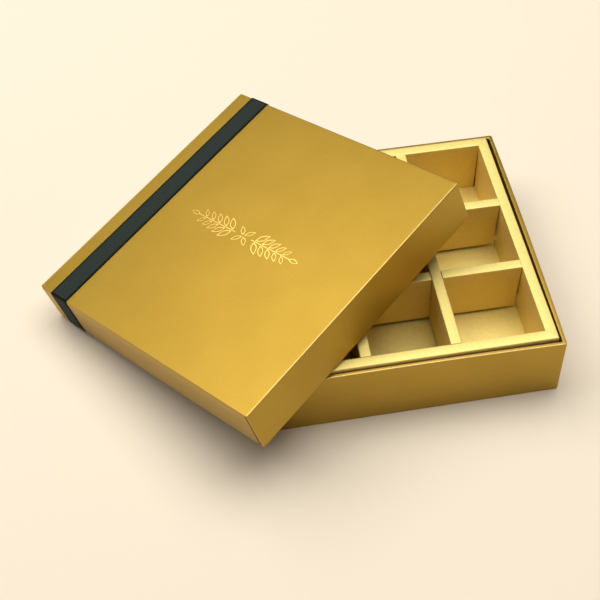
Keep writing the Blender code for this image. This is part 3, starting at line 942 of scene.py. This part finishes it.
def garland(place, height):
    """A generic foil garland across the lid: four small leaves between two leafy sprigs on thin stems."""
    parts = []
    pattern = foil_leaf()

    def put(x, turn, scale):
        piece = copy_of(pattern)
        spin = Matrix.Translation((x, 0, 0)) @ Matrix.Rotation(turn, 4, "Z")
        size = Matrix.Diagonal((scale, scale, 1, 1))
        carry(piece, spin @ Matrix.Translation((LEAF_FOOT, 0, 0)) @ size)
        parts.append(piece)

    for hand in (-1, 1):
        heading = 0 if hand > 0 else math.pi
        for pair in range(LEAF_PAIRS):
            share = pair / LEAF_PAIRS
            x = hand * (FIRST_PAIR + (TIP_PLACE - FIRST_PAIR) * share) * GARLAND_HALF
            for lean in (-1, 1):
                put(x, heading + lean * LEAF_LEAN, 1 - LEAF_SHRINK * share)
        put(hand * TIP_PLACE * GARLAND_HALF, heading, SMALL_LEAF)
        near_end, far_end = (end * GARLAND_HALF for end in STEM_ENDS)
        centre = (hand * (near_end + far_end) / 2, 0, FOIL_HEIGHT / 2)
        parts.append(add_box("stem", centre, (far_end - near_end, STEM_WIDTH, FOIL_HEIGHT)))
    for turn in range(4):
        put(0, math.radians(90 * turn + 45), SMALL_LEAF)
    bpy.data.objects.remove(pattern, do_unlink=True)
    foil = join(parts)
    foil.name = "lid_foil_garland"
    face_outwards(foil)
    smooth(foil, degrees=20)
    carry(foil, place @ Matrix.Translation((0, 0, height - FOIL_SINK)))
    return foil


def build_base(gold, stays):
    """The base's paper, and the two of its wall boards that are bent with it."""
    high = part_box("base_wrap")[1]
    base = wrapped_sheet("base_wrap_paper", 2 * high.y, high.z)
    carry(base, Matrix.Rotation(math.radians(90), 4, "Z"))
    bow(base, high.y, high.z)
    finish_piece(base, "base", gold, "gold_wrap", "base_wrap")
    for node in ("base_wall_board_right", "base_wall_board_front"):
        finish_piece(bowed_board(node, high.y, high.z), "base", stays["board"], "greyboard", node)


def build_lid(gold, stays, place, side, height):
    """The lid's paper, and its wall boards and tapes, which are sprung with it."""
    lid = wrapped_sheet("lid_wrap_paper", side, height)
    carry(lid, turned_over(height))
    spring_rim(lid, side / 2, height)
    carry(lid, place)
    finish_piece(lid, "lid", gold, "gold_wrap", "lid_wrap")
    slots = {"board": "greyboard", "stay": "kraft_tape"}
    for node in [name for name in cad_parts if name.startswith(("lid_wall_board", "lid_corner_stay"))]:
        word = "board" if "board" in node else "stay"
        finish_piece(sprung_copy(node, place, side / 2, height), "lid", stays[word], slots[word], node)


def build_insert(card):
    """The card tray, and the four strips that divide it into nine cells."""
    finish_piece(insert_tray(), "tray", card, "pearl_card", "insert_tray")
    for kind, ends in (("row", ("front", "back")), ("column", ("left", "right"))):
        for end in ends:
            node = f"{kind}_divider_{end}"
            strip = divider(f"{node}_card", node, along_y=kind == "column")
            finish_piece(strip, "grid", card, "pearl_card", node)


def trim_lid(place, side, height):
    """The ribbon round the lid and the foil on it."""
    band, flat = lid_ribbon(place, side, height)
    finish_piece(band, "lid", grosgrain(), "ribbon_cloth", "lid_ribbon")
    finish_piece(garland(place, height), "lid", stamped_foil(), "gold_wrap")


def build_box():
    """Every visible piece that stands for a CAD node, and the finishes of the nodes that stay."""
    gold = gold_paper()
    stays = {"board": greyboard(), "stay": kraft_tape(), "liner": lining_paper()}
    place, side, height = lid_place()
    build_base(gold, stays)
    build_lid(gold, stays, place, side, height)
    build_insert(pearl_card())
    trim_lid(place, side, height)
    for name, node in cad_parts.items():
        for word, material in stays.items():
            if word in name:
                node.data.materials.clear()
                node.data.materials.append(material)


def studio():
    """A pale cream table that rises all round into a wide bowl."""
    deselect()
    spot = (0, 0, -FLOOR_DROP)
    size = {"vertices": FLOOR_SIDES, "radius": FLOOR_RADIUS}
    bpy.ops.mesh.primitive_circle_add(**size, fill_type="NGON", location=spot)
    floor = bpy.context.object
    floor.name = "studio_floor"
    bpy.ops.object.transform_apply(location=True, rotation=False, scale=False)
    edit(floor)
    bpy.ops.mesh.select_all(action="SELECT")
    for step in range(BOWL_STEPS):
        below, above = BOWL_STEP * step, BOWL_STEP * (step + 1)
        before = FLOOR_RADIUS + BOWL_RADIUS * math.sin(below)
        after = FLOOR_RADIUS + BOWL_RADIUS * math.sin(above)
        rise = BOWL_RADIUS * (math.cos(below) - math.cos(above))
        bpy.ops.mesh.extrude_region_move(TRANSFORM_OT_translate={"value": (0, 0, 0)})
        bpy.ops.transform.resize(value=(after / before, after / before, 1), center_override=(0, 0, 0))
        bpy.ops.transform.translate(value=(0, 0, rise))
    bpy.ops.mesh.delete(type="ONLY_FACE")
    bpy.ops.mesh.select_all(action="SELECT")
    bpy.ops.mesh.normals_make_consistent(inside=True)
    leave_edit()
    smooth(floor, degrees=30)
    paper, _, shader, _ = new_material("studio_paper", roughness=0.9, metallic=0.0)
    shader.inputs["Base Color"].default_value = linear(FLOOR_COLOUR)
    shader.inputs["Specular IOR Level"].default_value = 0.1
    floor.data.materials.append(paper)


def lamp(name, watts, size, place):
    """A rectangular soft box that faces the object."""
    data = bpy.data.lights.new(name, "AREA")
    data.shape = "RECTANGLE"
    data.size, data.size_y = size
    data.energy = watts
    data.color = linear(LAMP_COLOUR)[:3]
    soft_box = bpy.data.objects.new(name, data)
    soft_box.location = place
    soft_box.rotation_euler = (Vector(LIGHT_TARGET) - Vector(place)).to_track_quat("-Z", "Y").to_euler()
    bpy.context.scene.collection.objects.link(soft_box)


def lights():
    """A wide soft box behind and to the left, another overhead, and a dim warm room."""
    lamp("soft_box_back", BACK_WATTS, BACK_SIZE, BACK_PLACE)
    lamp("soft_box_top", TOP_WATTS, TOP_SIZE, TOP_PLACE)
    world = bpy.data.worlds.new("room")
    world.use_nodes = True
    sky = world.node_tree.nodes["Background"]
    sky.inputs["Color"].default_value = linear(WORLD_COLOUR)
    sky.inputs["Strength"].default_value = WORLD_STRENGTH
    bpy.context.scene.world = world


def camera():
    """The camera that took the photograph, which was cropped off its middle."""
    data = bpy.data.cameras.new("photo_camera")
    data.sensor_width = SENSOR_WIDTH
    data.lens = data.sensor_width * FOCAL_PIXELS / PHOTO_SIDE
    data.shift_x = (PHOTO_SIDE / 2 - PRINCIPAL_PIXEL[0]) / PHOTO_SIDE
    data.shift_y = (PRINCIPAL_PIXEL[1] - PHOTO_SIDE / 2) / PHOTO_SIDE
    data.clip_start, data.clip_end = CLIP_RANGE
    eye = bpy.data.objects.new("photo_camera", data)
    eye.location = CAMERA_PLACE
    eye.rotation_euler = (math.pi / 2 - CAMERA_ELEVATION, 0, -CAMERA_AZIMUTH)
    bpy.context.scene.collection.objects.link(eye)
    bpy.context.scene.camera = eye


camera()
studio()
lights()
build_box()
bpy.context.scene.view_settings.view_transform = "Standard"
